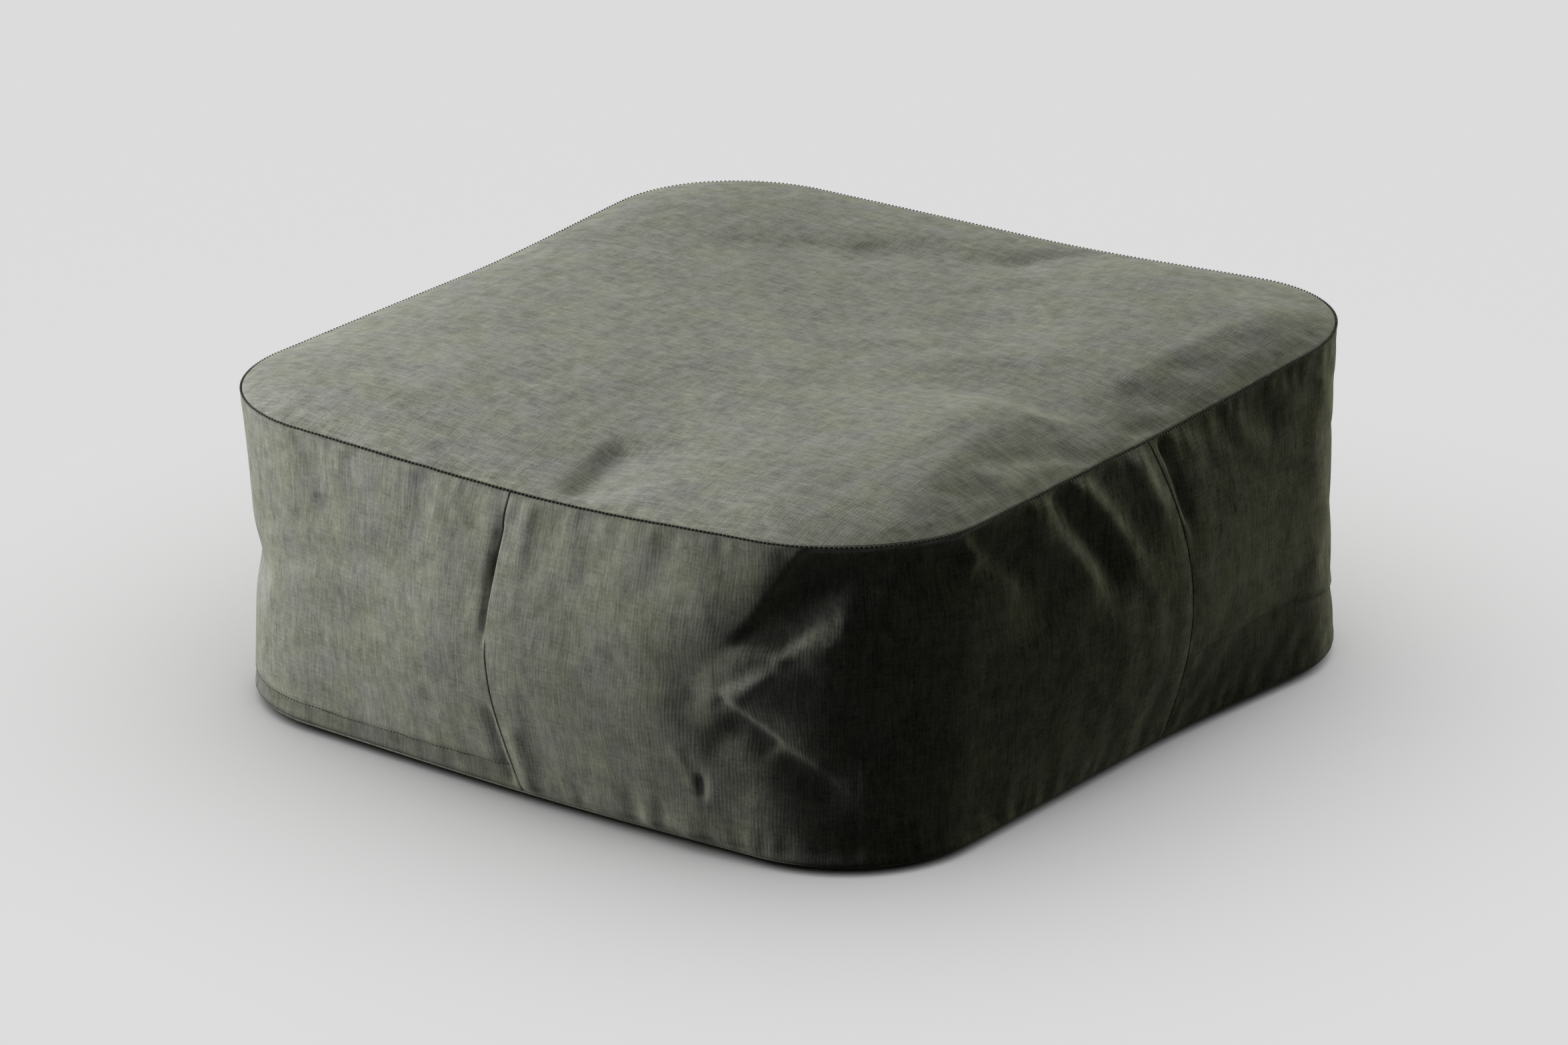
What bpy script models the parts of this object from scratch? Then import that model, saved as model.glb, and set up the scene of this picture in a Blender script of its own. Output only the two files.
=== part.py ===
"""Bean bag footstool: a low square pouf with round corners, sewn from six panels of heavy canvas
around one soft filling.

Metres, +Z up. The origin is the middle of the underside, on the floor. The front faces -Y and +X is
on the right of it. Distances round the side run anticlockwise, seen from above, from the middle of
the front, and "level" runs from 0 at the bottom seam to 1 at the top seam.

The whole cover is shaped once, as one closed surface. The filled body is that surface drawn in by
the thickness of the cloth, and each panel is its own share of it, thickened inwards.
"""
import math

import bmesh
import bpy
import numpy as np
from mathutils import Vector

# Driving dimensions
HALF_WIDTH = 0.350          # middle of the stool to the top seam, at the middle of a side
CORNER_RADIUS = 0.125       # of the square's round corners, in plan
CLOTH = 0.0015              # thickness of the canvas
GAP = 0.0003                # between pieces that touch
CROWN = 0.016               # rise of the top above its seam
TOP_LEVEL = 0.272           # mean height of the top seam
FOOT_SEAM = 0.008           # height of the bottom seam
FLAT_SHARE = 0.90           # share of the underside that lies flat on the floor
SEAM_ROOM = CLOTH + 2 * GAP     # from a level seam's edge to the side panel that butts under it

# Mesh divisions
ACROSS = 22                 # of each side of the square, and of each side panel
ROWS = 9                    # of the side, from seam to seam
RIM_CROWDING = 0.55         # how far the top's rings crowd towards its rim, where it bends most
CREASE = 0.2                # spread of the faces' directions past which a point counts as on a crease

# The shape at each side's middle and each corner. A reach is how far a seam lies outside the plain
# square, and the swell is how far the side stands out half way up.
STATIONS = (
    # name, seam height, top reach, foot reach, swell
    ("front middle", 0.257, -0.002, 0.003, 0.021),
    ("front right corner", 0.273, 0.000, -0.007, -0.001),
    ("right middle", 0.272, -0.004, -0.006, 0.026),
    ("back right corner", 0.288, 0.008, 0.013, -0.005),
    ("back middle", 0.280, -0.001, -0.003, 0.018),
    ("back left corner", 0.279, -0.001, -0.003, -0.009),
    ("left middle", 0.267, -0.002, -0.003, 0.018),
    ("front left corner", 0.264, 0.001, -0.004, -0.006),
)

# Where the four upright seams lie, as the distance past the middle of their own side
UPRIGHT_SEAMS = (
    # side, at the bottom, half way up, at the top
    ("front", 0.004, -0.014, -0.009),
    ("right", 0.036, 0.039, 0.006),
    ("back", 0.000, 0.006, 0.000),
    ("left", 0.000, -0.006, 0.000),
)

# Soft folds of the side, each along a straight line from one point to another; depth is inwards
SIDE_FOLDS = (
    # name, start along, start height, end along, end height, half width, depth
    ("hollow under the corner seam", 0.285, 0.243, 0.252, 0.190, 0.034, 0.013),
    ("ridge below the hollow", 0.207, 0.138, 0.295, 0.208, 0.024, -0.006),
    ("crease below the ridge", 0.192, 0.136, 0.285, 0.076, 0.026, 0.005),
    ("trough by the right seam", 0.533, 0.264, 0.588, 0.198, 0.022, 0.007),
    ("ridge beside that trough", 0.558, 0.264, 0.602, 0.200, 0.020, -0.004),
    ("crease past the corner", 0.420, 0.264, 0.494, 0.190, 0.026, 0.006),
    ("dent left of the front seam", -0.035, 0.215, -0.028, 0.120, 0.024, 0.006),
    ("waist of the front left corner", -0.400, 0.120, -0.300, 0.125, 0.022, 0.005),
)

# Soft dents of the top
TOP_DENTS = (
    # name, x, y, half length along x, half length along y, depth
    ("hollow at the back", -0.030, 0.190, 0.170, 0.130, 0.006),
    ("hollow near the front seam", 0.045, -0.285, 0.060, 0.045, 0.005),
    ("dent by the right seam", 0.298, -0.060, 0.040, 0.055, 0.004),
    ("dent at the right corner", 0.268, 0.196, 0.045, 0.060, 0.004),
)

# Panels: name, and the material's colour, roughness and metallic value
CANVAS = ((0.235, 0.240, 0.210, 1.0), 0.92, 0.0)
SHADED_CANVAS = ((0.215, 0.222, 0.190, 1.0), 0.92, 0.0)
FILLING = ((0.230, 0.232, 0.205, 1.0), 0.95, 0.0)
SIDE_PANELS = ("side_panel_front_right", "side_panel_back_right",
               "side_panel_back_left", "side_panel_front_left")

STRAIGHT = 2 * (HALF_WIDTH - CORNER_RADIUS)     # straight run of one side
ARC = math.pi / 2 * CORNER_RADIUS               # length of one corner
SIDE_LENGTH = STRAIGHT + ARC                    # from the middle of one side to the next
ROUND = 4 * SIDE_LENGTH


def eased(fraction):
    """0 to 1, flat at both ends."""
    return (1 - math.cos(math.pi * fraction)) / 2


def at_station(column, distance):
    """A value of the STATIONS table, eased between its two nearest rows."""
    place = distance % ROUND / ROUND * len(STATIONS)
    row = int(place) % len(STATIONS)
    share = eased(place - int(place))
    following = STATIONS[(row + 1) % len(STATIONS)]
    return STATIONS[row][column] * (1 - share) + following[column] * share


def plan_at(distance):
    """The point of the square's outline at a distance round it, and its outward direction."""
    run = (distance + STRAIGHT / 2) % ROUND
    side = int(run // SIDE_LENGTH) % 4
    run -= SIDE_LENGTH * (run // SIDE_LENGTH)
    turn = min(max((run - STRAIGHT) / CORNER_RADIUS, 0.0), math.pi / 2)
    inner = HALF_WIDTH - CORNER_RADIUS
    outward = Vector((math.sin(turn), -math.cos(turn), 0))
    point = Vector((min(run, STRAIGHT) - inner, -inner, 0)) + outward * CORNER_RADIUS
    for _ in range(side):
        point = Vector((-point.y, point.x, 0))
        outward = Vector((-outward.y, outward.x, 0))
    return point, outward


def seam_place(number, level):
    """Distance round the side of an upright seam, counted on from the front one."""
    side = number % 4
    low, middle, high = UPRIGHT_SEAMS[side][1:]
    lean = low + (4 * middle - 3 * low - high) * level + (2 * low + 2 * high - 4 * middle) * level ** 2
    return number * SIDE_LENGTH + lean


def distance_round(turn, level):
    """Distance round the side for a turn of 0 to 4, in which each upright seam is a whole number."""
    panel = math.floor(turn)
    start, end = seam_place(panel, level), seam_place(panel + 1, level)
    return start + (end - start) * (turn - panel)


def fold_depth(distance, height):
    """How far the side's folds draw in at a point."""
    depth = 0.0
    for _, start, start_height, end, end_height, width, fold in SIDE_FOLDS:
        line = Vector((end - start, end_height - start_height))
        away = (distance - start + ROUND / 2) % ROUND - ROUND / 2
        to_point = Vector((away, height - start_height))
        along = min(max(to_point.dot(line) / line.length_squared, 0.0), 1.0)
        depth += fold * math.exp(-((to_point - line * along).length / width) ** 2)
    return depth


def side_point(turn, level):
    """A point of the side: swollen between its seams, drawn in at the corners and the folds."""
    distance = distance_round(turn, level)
    point, outward = plan_at(distance)
    height = FOOT_SEAM + (at_station(1, distance) - FOOT_SEAM) * level
    reach = at_station(2, distance) * level + at_station(3, distance) * (1 - level)
    swell = at_station(4, distance) * math.sin(math.pi * level)
    held = min(1.0, 8 * level * (1 - level))        # folds die out at the two level seams
    out = reach + swell - fold_depth(distance, height) * held
    point = point + outward * out
    return Vector((point.x, point.y, height))


def top_point(turn, ring):
    """A point of the top: 0 at its middle, 1 at its seam."""
    rim = side_point(turn, 1.0)
    height = TOP_LEVEL + (rim.z - TOP_LEVEL) * ring ** 2 + CROWN * (1 - ring ** 8)
    point = Vector((rim.x * ring, rim.y * ring, height))
    for _, x, y, along_x, along_y, depth in TOP_DENTS:
        spread = ((point.x - x) / along_x) ** 2 + ((point.y - y) / along_y) ** 2
        point.z -= depth * math.exp(-spread) * (1 - ring ** 8)
    return point


def foot_point(turn, ring):
    """A point of the underside: flat on the floor, turned up to its seam."""
    rim = side_point(turn, 0.0)
    curl = max(0.0, (ring - FLAT_SHARE) / (1 - FLAT_SHARE))
    return Vector((rim.x * ring, rim.y * ring, FOOT_SEAM * curl ** 2))


def cover_point(place):
    """The cover's point for a point on the surface of a cube from -1 to 1."""
    ring = max(abs(place.x), abs(place.y))
    if ring < 1e-6:
        return top_point(0.0, 0.0) if place.z > 0 else foot_point(0.0, 0.0)
    x, y = place.x / ring, place.y / ring
    if y < -0.9999:
        turn = x / 2
    elif x > 0.9999:
        turn = 1 + y / 2
    elif y > 0.9999:
        turn = 2 - x / 2
    else:
        turn = 3 - y / 2
    if abs(place.z) < 0.9999 or ring > 0.9999:
        return side_point(turn, (place.z + 1) / 2)
    crowded = ring + RIM_CROWDING * (math.sin(math.pi / 2 * ring) - ring)
    return top_point(turn, crowded) if place.z > 0 else foot_point(turn, crowded)


def centre_over_origin(shape):
    """The uneven form's box is put square over the origin."""
    across = [vert.co.x for vert in shape.verts]
    along = [vert.co.y for vert in shape.verts]
    middle = Vector(((min(across) + max(across)) / 2, (min(along) + max(along)) / 2, 0))
    bmesh.ops.translate(shape, verts=shape.verts, vec=-middle)


def cover_surface():
    """The whole cover as one closed surface, each face marked with its panel's number."""
    cover = bmesh.new()
    bmesh.ops.create_cube(cover, size=2)
    level = [e for e in cover.edges if abs(e.verts[0].co.z - e.verts[1].co.z) < 1]
    bmesh.ops.subdivide_edges(cover, edges=level, cuts=ACROSS - 1, use_grid_fill=True)
    upright = [e for e in cover.edges if abs(e.verts[0].co.z - e.verts[1].co.z) > 1]
    bmesh.ops.subdivide_edges(cover, edges=upright, cuts=ROWS - 1, use_grid_fill=True)
    panel = cover.faces.layers.int.new("panel")
    for face in cover.faces:
        middle = face.calc_center_median()
        if abs(middle.z) > 0.9999:
            face[panel] = 4 if middle.z > 0 else 5
        else:
            # quadrants, from the front right one anticlockwise
            face[panel] = (0 if middle.x > 0 else 3) if middle.y < 0 else (1 if middle.x > 0 else 2)
    row = cover.verts.layers.float_vector.new("place")
    for vert in cover.verts:
        vert[row] = vert.co.copy()
        vert.co = cover_point(vert.co)
    centre_over_origin(cover)
    bmesh.ops.triangulate(cover, faces=cover.faces)
    cover.normal_update()
    return cover


def canvas_material(name, look):
    colour, roughness, metallic = look
    material = bpy.data.materials.new(name)
    material.use_nodes = True
    shader = material.node_tree.nodes["Principled BSDF"]
    shader.inputs["Base Color"].default_value = colour
    shader.inputs["Roughness"].default_value = roughness
    shader.inputs["Metallic"].default_value = metallic
    return material


def add_object(name, shape, look, collection):
    """An object of a bmesh's shape, shaded smooth."""
    mesh = bpy.data.meshes.new(name)
    shape.to_mesh(mesh)
    shape.free()
    mesh.shade_smooth()
    mesh.materials.append(canvas_material(name + "_canvas", look))
    piece = bpy.data.objects.new(name, mesh)
    collection.objects.link(piece)
    return piece


def inward(vert, inset):
    """The move that takes a vertex in by the inset from every face round it."""
    normals = np.array([face.normal for face in vert.link_faces])
    move = np.linalg.lstsq(normals, np.full(len(normals), -inset), rcond=CREASE)[0]
    return Vector(move)


def filled_body(cover, collection):
    """The stool's one filled form, a cloth's thickness and a gap inside the cover."""
    body = cover.copy()
    body.normal_update()
    moves = [inward(vert, CLOTH + GAP) for vert in body.verts]
    for vert, move in zip(body.verts, moves):
        vert.co += move
    add_object("filled_body", body, FILLING, collection)


def draw_back(sheet, place):
    """Pull a side panel's edges back along the cloth, to clear the panels that it is sewn to."""
    moved = {}
    for vert in sheet.verts:
        if not vert.is_boundary:
            continue
        point = vert.co.copy()
        at_level_seam = abs(vert[place].z) > 0.9999
        at_upright_seam = min(abs(vert[place].x), abs(vert[place].y)) < 1e-5
        for edge in vert.link_edges:
            other = edge.other_vert(vert)
            step = other[place] - vert[place]
            rises, runs = abs(step.z) > 1e-5, abs(step.x) + abs(step.y) > 1e-5
            along = (other.co - vert.co).normalized()
            if rises and not runs and at_level_seam:
                point += along * SEAM_ROOM
            if runs and not rises and at_upright_seam:
                point += along * GAP / 2
        moved[vert] = point
    for vert, point in moved.items():
        vert.co = point


def panel(cover, number, name, look, collection):
    """One panel of the cover, thickened inwards to the canvas's thickness."""
    sheet = cover.copy()
    mark = sheet.faces.layers.int["panel"]
    others = [face for face in sheet.faces if face[mark] != number]
    bmesh.ops.delete(sheet, geom=others, context="FACES")
    if number < len(SIDE_PANELS):
        draw_back(sheet, sheet.verts.layers.float_vector["place"])
    piece = add_object(name, sheet, look, collection)
    thickness = piece.modifiers.new("Canvas", "SOLIDIFY")
    thickness.thickness = CLOTH
    thickness.offset = -1
    thickness.use_even_offset = True


def main():
    for old in list(bpy.data.objects):
        bpy.data.objects.remove(old)
    collection = bpy.data.collections.new("bean_bag_footstool")
    bpy.context.scene.collection.children.link(collection)
    cover = cover_surface()
    filled_body(cover, collection)
    for number, name in enumerate(SIDE_PANELS):
        panel(cover, number, name, CANVAS, collection)
    panel(cover, 4, "top_panel", CANVAS, collection)
    panel(cover, 5, "bottom_panel", SHADED_CANVAS, collection)
    cover.free()


main()
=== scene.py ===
import math

import bmesh
import bpy
import numpy as np
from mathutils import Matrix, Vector


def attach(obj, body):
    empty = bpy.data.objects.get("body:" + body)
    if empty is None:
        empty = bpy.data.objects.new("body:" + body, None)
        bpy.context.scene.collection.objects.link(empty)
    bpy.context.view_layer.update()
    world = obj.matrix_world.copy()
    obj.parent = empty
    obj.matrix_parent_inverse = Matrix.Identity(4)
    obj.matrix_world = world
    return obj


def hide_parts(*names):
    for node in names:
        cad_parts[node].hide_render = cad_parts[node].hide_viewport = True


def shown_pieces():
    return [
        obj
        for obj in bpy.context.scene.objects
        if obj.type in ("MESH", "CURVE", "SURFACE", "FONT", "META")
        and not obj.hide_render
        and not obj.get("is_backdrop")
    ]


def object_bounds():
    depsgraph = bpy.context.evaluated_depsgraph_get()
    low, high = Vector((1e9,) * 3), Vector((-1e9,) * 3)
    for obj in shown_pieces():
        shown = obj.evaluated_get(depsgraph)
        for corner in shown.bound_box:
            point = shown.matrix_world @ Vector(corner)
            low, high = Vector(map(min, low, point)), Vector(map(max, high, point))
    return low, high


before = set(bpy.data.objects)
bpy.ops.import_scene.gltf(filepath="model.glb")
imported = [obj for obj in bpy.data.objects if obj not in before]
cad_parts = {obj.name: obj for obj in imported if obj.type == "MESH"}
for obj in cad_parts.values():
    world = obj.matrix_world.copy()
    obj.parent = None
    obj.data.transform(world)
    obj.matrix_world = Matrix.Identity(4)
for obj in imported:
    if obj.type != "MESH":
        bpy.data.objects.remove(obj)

# A bean bag footstool: a low square pouf with round corners, sewn from six panels of heavy canvas.
# Metres, +Z up, the front faces -Y. Distances round the side run anticlockwise, seen from above,
# from the middle of the front, and "level" runs from 0 at the bottom seam to 1 at the top seam.
cad_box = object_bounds()


# ----------------------------------------------------------
# Filled form: the loose filling that gives the stool its shape, packed inside the cover. It is one
# soft mass, swollen between the seams and drawn in at the folds. Its skin is found by letting the
# whole cover blow up like cloth with its seams held, and then drawing that shape in.
# ----------------------------------------------------------
HALF_WIDTH = 0.350          # middle of the stool to the top seam, at the middle of a side
CORNER_RADIUS = 0.125       # of the square's round corners, in plan
CROWN = 0.016               # rise of the top above its seam
TOP_LEVEL = 0.272           # mean height of the top seam
FOOT_SEAM = 0.008           # height of the bottom seam
FLAT_SHARE = 0.90           # share of the underside that lies flat on the floor
RIM_CROWDING = 0.55         # how far the top's rings crowd towards its rim
RIM_ROUNDING = 8            # how late the crown comes down to its seam
FOLD_HOLD = 8               # how fast the side's folds grow away from the level seams
CREASE_HOLD = 25            # and how fast its creases do
TOP_HOLD = 0.04             # share of the top, by its rim, over which its creases die away
ON_EDGE = 0.9999            # of a square from -1 to 1
FORM_ACROSS = 88            # divisions of each side of the form
FORM_ROWS = 36              # divisions of its height
STATIONS = np.array((
    # seam height, top reach, foot reach, swell, at each side's middle and each corner in turn
    (0.257, -0.002, 0.003, 0.021),      # front middle
    (0.273, 0.000, -0.007, -0.001),
    (0.272, -0.004, -0.006, 0.026),     # right middle
    (0.288, 0.008, 0.013, -0.005),
    (0.280, -0.001, -0.003, 0.018),     # back middle
    (0.279, -0.001, -0.003, -0.009),
    (0.267, -0.002, -0.003, 0.018),     # left middle
    (0.264, 0.001, -0.004, -0.006),
))
UPRIGHT_SEAMS = np.array((
    # distance past the middle of the side: at the bottom, half way up, at the top
    (0.004, -0.014, -0.009),            # front
    (0.036, 0.039, 0.006),              # right
    (0.000, 0.006, 0.000),              # back
    (0.000, -0.006, 0.000),             # left
))
SIDE_FOLDS = (
    # start along, start height, end along, end height, half width, depth inwards
    (0.285, 0.243, 0.252, 0.190, 0.034, 0.013),     # hollow under the corner seam
    (0.207, 0.138, 0.295, 0.208, 0.024, -0.006),    # ridge below the hollow
    (0.192, 0.136, 0.285, 0.076, 0.026, 0.005),     # crease below the ridge
    (0.533, 0.264, 0.588, 0.198, 0.022, 0.007),     # trough by the right seam
    (0.558, 0.264, 0.602, 0.200, 0.020, -0.004),    # ridge beside that trough
    (0.420, 0.264, 0.494, 0.190, 0.026, 0.006),     # crease past the corner
    (-0.035, 0.215, -0.028, 0.120, 0.024, 0.006),   # dent left of the front seam
    (-0.400, 0.120, -0.300, 0.125, 0.022, 0.005),   # waist of the front left corner
)
TOP_DENTS = (
    # x, y, half length along x, half length along y, depth
    (-0.030, 0.190, 0.170, 0.130, 0.006),           # hollow at the back
    (0.045, -0.285, 0.060, 0.045, 0.005),           # hollow near the front seam
    (0.298, -0.060, 0.040, 0.055, 0.004),           # dent by the right seam
    (0.268, 0.196, 0.045, 0.060, 0.004),            # dent at the right corner
)
SIDE_CREASES = (
    # start along, start height, end along, end height, half widths left and right, fade past the
    # ends, depth inwards. Left and right are as one looks from the start to the end, from outside.
    (0.165, 0.185, 0.160, 0.030, 0.075, 0.090, 0.045, -0.0088),     # broad swell before the corner
    (0.350, 0.240, 0.345, 0.030, 0.100, 0.090, 0.030, 0.0090),      # the corner, pressed flat
    (-0.060, 0.125, 0.130, 0.130, 0.075, 0.060, 0.060, -0.0065),    # belly of the front
    (0.251, 0.180, 0.284, 0.204, 0.004, 0.007, 0.020, -0.0013),     # thin ridge under the hollow
    (0.218, 0.142, 0.244, 0.172, 0.018, 0.006, 0.010, -0.0019),     # raised face below that
    (0.208, 0.152, 0.240, 0.170, 0.008, 0.006, 0.008, 0.0030),      # short trough left of it
    (0.180, 0.139, 0.206, 0.137, 0.006, 0.010, 0.008, 0.0009),      # long slanting crease
    (0.206, 0.137, 0.241, 0.106, 0.005, 0.013, 0.006, 0.0030),
    (0.241, 0.106, 0.284, 0.077, 0.005, 0.013, 0.018, 0.0025),
    (0.200, 0.098, 0.211, 0.112, 0.012, 0.010, 0.010, 0.0022),      # small dents below it
    (0.185, 0.056, 0.1855, 0.067, 0.0034, 0.0040, 0.005, 0.0022),
    (0.167, 0.090, 0.178, 0.064, 0.004, 0.005, 0.006, -0.0010),
    (0.318, 0.037, 0.317, 0.103, 0.0030, 0.0040, 0.020, -0.0006),   # faint crest on the corner
    (0.400, 0.272, 0.426, 0.243, 0.008, 0.016, 0.008, -0.0050),     # crease past the corner
    (0.426, 0.243, 0.460, 0.208, 0.008, 0.018, 0.014, -0.0045),
    (0.500, 0.266, 0.554, 0.194, 0.018, 0.016, 0.018, -0.0034),     # pleats before the right seam
    (0.528, 0.266, 0.580, 0.190, 0.011, 0.013, 0.016, 0.0044),
    (0.552, 0.266, 0.592, 0.214, 0.015, 0.014, 0.018, -0.0028),
    (0.582, 0.264, 0.620, 0.204, 0.016, 0.013, 0.016, 0.0038),
    (0.628, 0.268, 0.648, 0.222, 0.012, 0.012, 0.012, -0.0035),
    (0.668, 0.266, 0.682, 0.208, 0.0085, 0.0030, 0.016, 0.0045),    # groove past the right seam
    (0.700, 0.270, 0.712, 0.215, 0.014, 0.012, 0.018, -0.0012),
    (0.800, 0.262, 0.815, 0.242, 0.016, 0.016, 0.014, 0.0026),      # dents near the back corner
    (0.748, 0.265, 0.755, 0.248, 0.014, 0.014, 0.012, 0.0022),
    (0.880, 0.262, 0.868, 0.225, 0.018, 0.018, 0.014, 0.0014),
    (0.930, 0.200, 0.820, 0.178, 0.007, 0.007, 0.020, 0.0014),
    (-0.0115, 0.216, -0.0135, 0.188, 0.0012, 0.0070, 0.016, 0.0062),    # front seam, where it gapes
    (-0.0135, 0.190, -0.0155, 0.152, 0.0012, 0.0045, 0.014, 0.0040),
    (-0.035, 0.215, -0.028, 0.120, 0.024, 0.024, 0.024, -0.0046),   # left of it, filled out again
    (0.008, 0.062, 0.014, 0.020, 0.010, 0.008, 0.012, -0.0034),     # its lower end, rounded over
    (-0.014, 0.075, -0.006, 0.020, 0.0022, 0.0070, 0.008, 0.0032),
    (0.014, 0.254, 0.012, 0.216, 0.007, 0.009, 0.012, -0.0020),     # pulls under the top seam
    (0.041, 0.254, 0.040, 0.214, 0.014, 0.014, 0.016, 0.0013),
    (-0.036, 0.252, -0.038, 0.228, 0.012, 0.012, 0.012, 0.0012),
    (-0.095, 0.255, -0.092, 0.215, 0.015, 0.012, 0.014, 0.0026),
    (0.071, 0.256, 0.077, 0.214, 0.014, 0.014, 0.016, 0.0016),
    (0.148, 0.262, 0.140, 0.222, 0.018, 0.014, 0.018, 0.0026),
    (-0.215, 0.250, -0.200, 0.205, 0.016, 0.014, 0.016, 0.0026),
    (0.085, 0.160, 0.170, 0.150, 0.020, 0.020, 0.030, 0.0024),      # broad shallow pulls
    (-0.150, 0.118, -0.060, 0.105, 0.018, 0.018, 0.030, 0.0016),
    (0.120, 0.040, 0.118, 0.014, 0.012, 0.010, 0.008, 0.0026),
    (0.145, 0.036, 0.147, 0.014, 0.008, 0.008, 0.008, 0.0022),
    (1.020, 0.268, 1.050, 0.212, 0.014, 0.018, 0.016, 0.0032),      # pulls of the back and the left
    (1.120, 0.270, 1.112, 0.225, 0.012, 0.014, 0.014, 0.0026),
    (1.236, 0.272, 1.262, 0.220, 0.014, 0.016, 0.014, 0.0034),
    (1.322, 0.270, 1.312, 0.215, 0.012, 0.016, 0.016, -0.0024),
    (1.340, 0.120, 1.460, 0.090, 0.018, 0.024, 0.030, 0.0028),
    (1.430, 0.268, 1.470, 0.196, 0.016, 0.012, 0.016, 0.0036),
    (1.560, 0.262, 1.600, 0.190, 0.012, 0.020, 0.014, 0.0050),
    (1.590, 0.256, 1.628, 0.196, 0.014, 0.012, 0.014, -0.0030),
    (1.600, 0.130, 1.660, 0.082, 0.008, 0.016, 0.012, 0.0034),
    (1.750, 0.258, 1.772, 0.205, 0.014, 0.014, 0.014, 0.0028),
    (1.860, 0.255, 1.852, 0.210, 0.012, 0.014, 0.014, 0.0024),
    (-0.620, 0.254, -0.606, 0.200, 0.014, 0.014, 0.014, 0.0026),
    (-0.480, 0.252, -0.500, 0.200, 0.016, 0.012, 0.014, 0.0026),
)
# The hollow under the front right corner: the foot and head of its left lip, and by distance round
# the side its floor's height, its depth and the width of the ledge below it
HOLLOW_LIP = (0.211, 0.184, 0.270, 0.266)
HOLLOW_LIP_WIDTH = 0.010
HOLLOW_FLOOR = ((0.19, 0.25, 0.284, 0.300, 0.340), (0.187, 0.182, 0.201, 0.214, 0.226))
HOLLOW_DEPTHS = ((0.20, 0.245, 0.330, 0.360, 0.500), (0.004, 0.0060, 0.0155, 0.0155, 0.0))
HOLLOW_LEDGE = ((0.265, 0.310), (0.015, 0.060))
TOP_CREASES = (
    # start x, start y, end x, end y, half widths left and right, fade past the ends, depth
    (0.042, -0.322, 0.030, -0.262, 0.013, 0.034, 0.014, 0.0060),    # dimple near the front seam
    (0.074, -0.300, 0.068, -0.256, 0.010, 0.030, 0.012, 0.0014),
    (0.318, -0.205, 0.322, -0.180, 0.016, 0.012, 0.012, 0.0022),    # dents in the right shoulder
    (0.302, -0.140, 0.310, -0.108, 0.020, 0.016, 0.014, 0.0030),
    (0.318, -0.084, 0.328, -0.070, 0.018, 0.014, 0.012, 0.0028),
    (0.332, 0.010, 0.336, 0.024, 0.010, 0.008, 0.010, 0.0026),      # pucker at the seam
    (0.300, 0.060, 0.318, 0.064, 0.016, 0.016, 0.012, 0.0024),
    (0.300, 0.122, 0.316, 0.136, 0.018, 0.016, 0.014, 0.0022),
    (0.306, 0.192, 0.316, 0.206, 0.018, 0.016, 0.014, 0.0018),
    (-0.180, 0.176, -0.084, 0.236, 0.020, 0.032, 0.034, 0.0024),    # long hollow at the back
    (-0.084, 0.236, 0.036, 0.280, 0.020, 0.034, 0.020, 0.0032),
    (0.036, 0.280, 0.070, 0.322, 0.018, 0.034, 0.024, 0.0034),
    (-0.140, 0.080, -0.020, 0.140, 0.034, 0.040, 0.060, -0.0012),   # soft streaks of the middle
    (-0.040, 0.030, 0.120, 0.110, 0.026, 0.034, 0.060, 0.0009),
    (0.125, 0.020, 0.185, 0.066, 0.026, 0.026, 0.040, -0.0014),
    (0.100, -0.070, 0.170, -0.020, 0.026, 0.034, 0.040, 0.0014),
)
SHOULDER = np.array((
    # along y, the x where the top begins to fall to its right seam, how high it stands there
    (-0.330, 0.300, 0.0),
    (-0.244, 0.297, 0.004),
    (-0.209, 0.288, 0.007),
    (-0.149, 0.268, 0.0095),
    (-0.096, 0.262, 0.011),
    (-0.045, 0.270, 0.0095),
    (-0.018, 0.300, 0.003),
    (0.012, 0.300, 0.0015),
    (0.041, 0.289, 0.004),
    (0.074, 0.279, 0.0075),
    (0.163, 0.277, 0.0075),
    (0.221, 0.284, 0.007),
    (0.260, 0.290, 0.006),
    (0.310, 0.301, 0.0),
))
SHOULDER_SEAM = 0.346       # x of the right seam, where the shoulder ends
SHOULDER_RUN = 0.11         # how far in from its crest the shoulder's rise reaches
SHOULDER_BEND = 0.15        # how softly it bends over at the crest
STRAIGHT = 2 * (HALF_WIDTH - CORNER_RADIUS)
SIDE_LENGTH = STRAIGHT + math.pi / 2 * CORNER_RADIUS    # from the middle of one side to the next
ROUND = 4 * SIDE_LENGTH     # all the way round


def at_station(column, distance):
    """A value of the stations' table, eased between its two nearest rows."""
    place = distance % ROUND / ROUND * len(STATIONS)
    row = np.floor(place).astype(int) % len(STATIONS)
    share = (1 - np.cos(np.pi * (place - np.floor(place)))) / 2
    values = STATIONS[:, column]
    return values[row] * (1 - share) + values[(row + 1) % len(STATIONS)] * share


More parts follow.
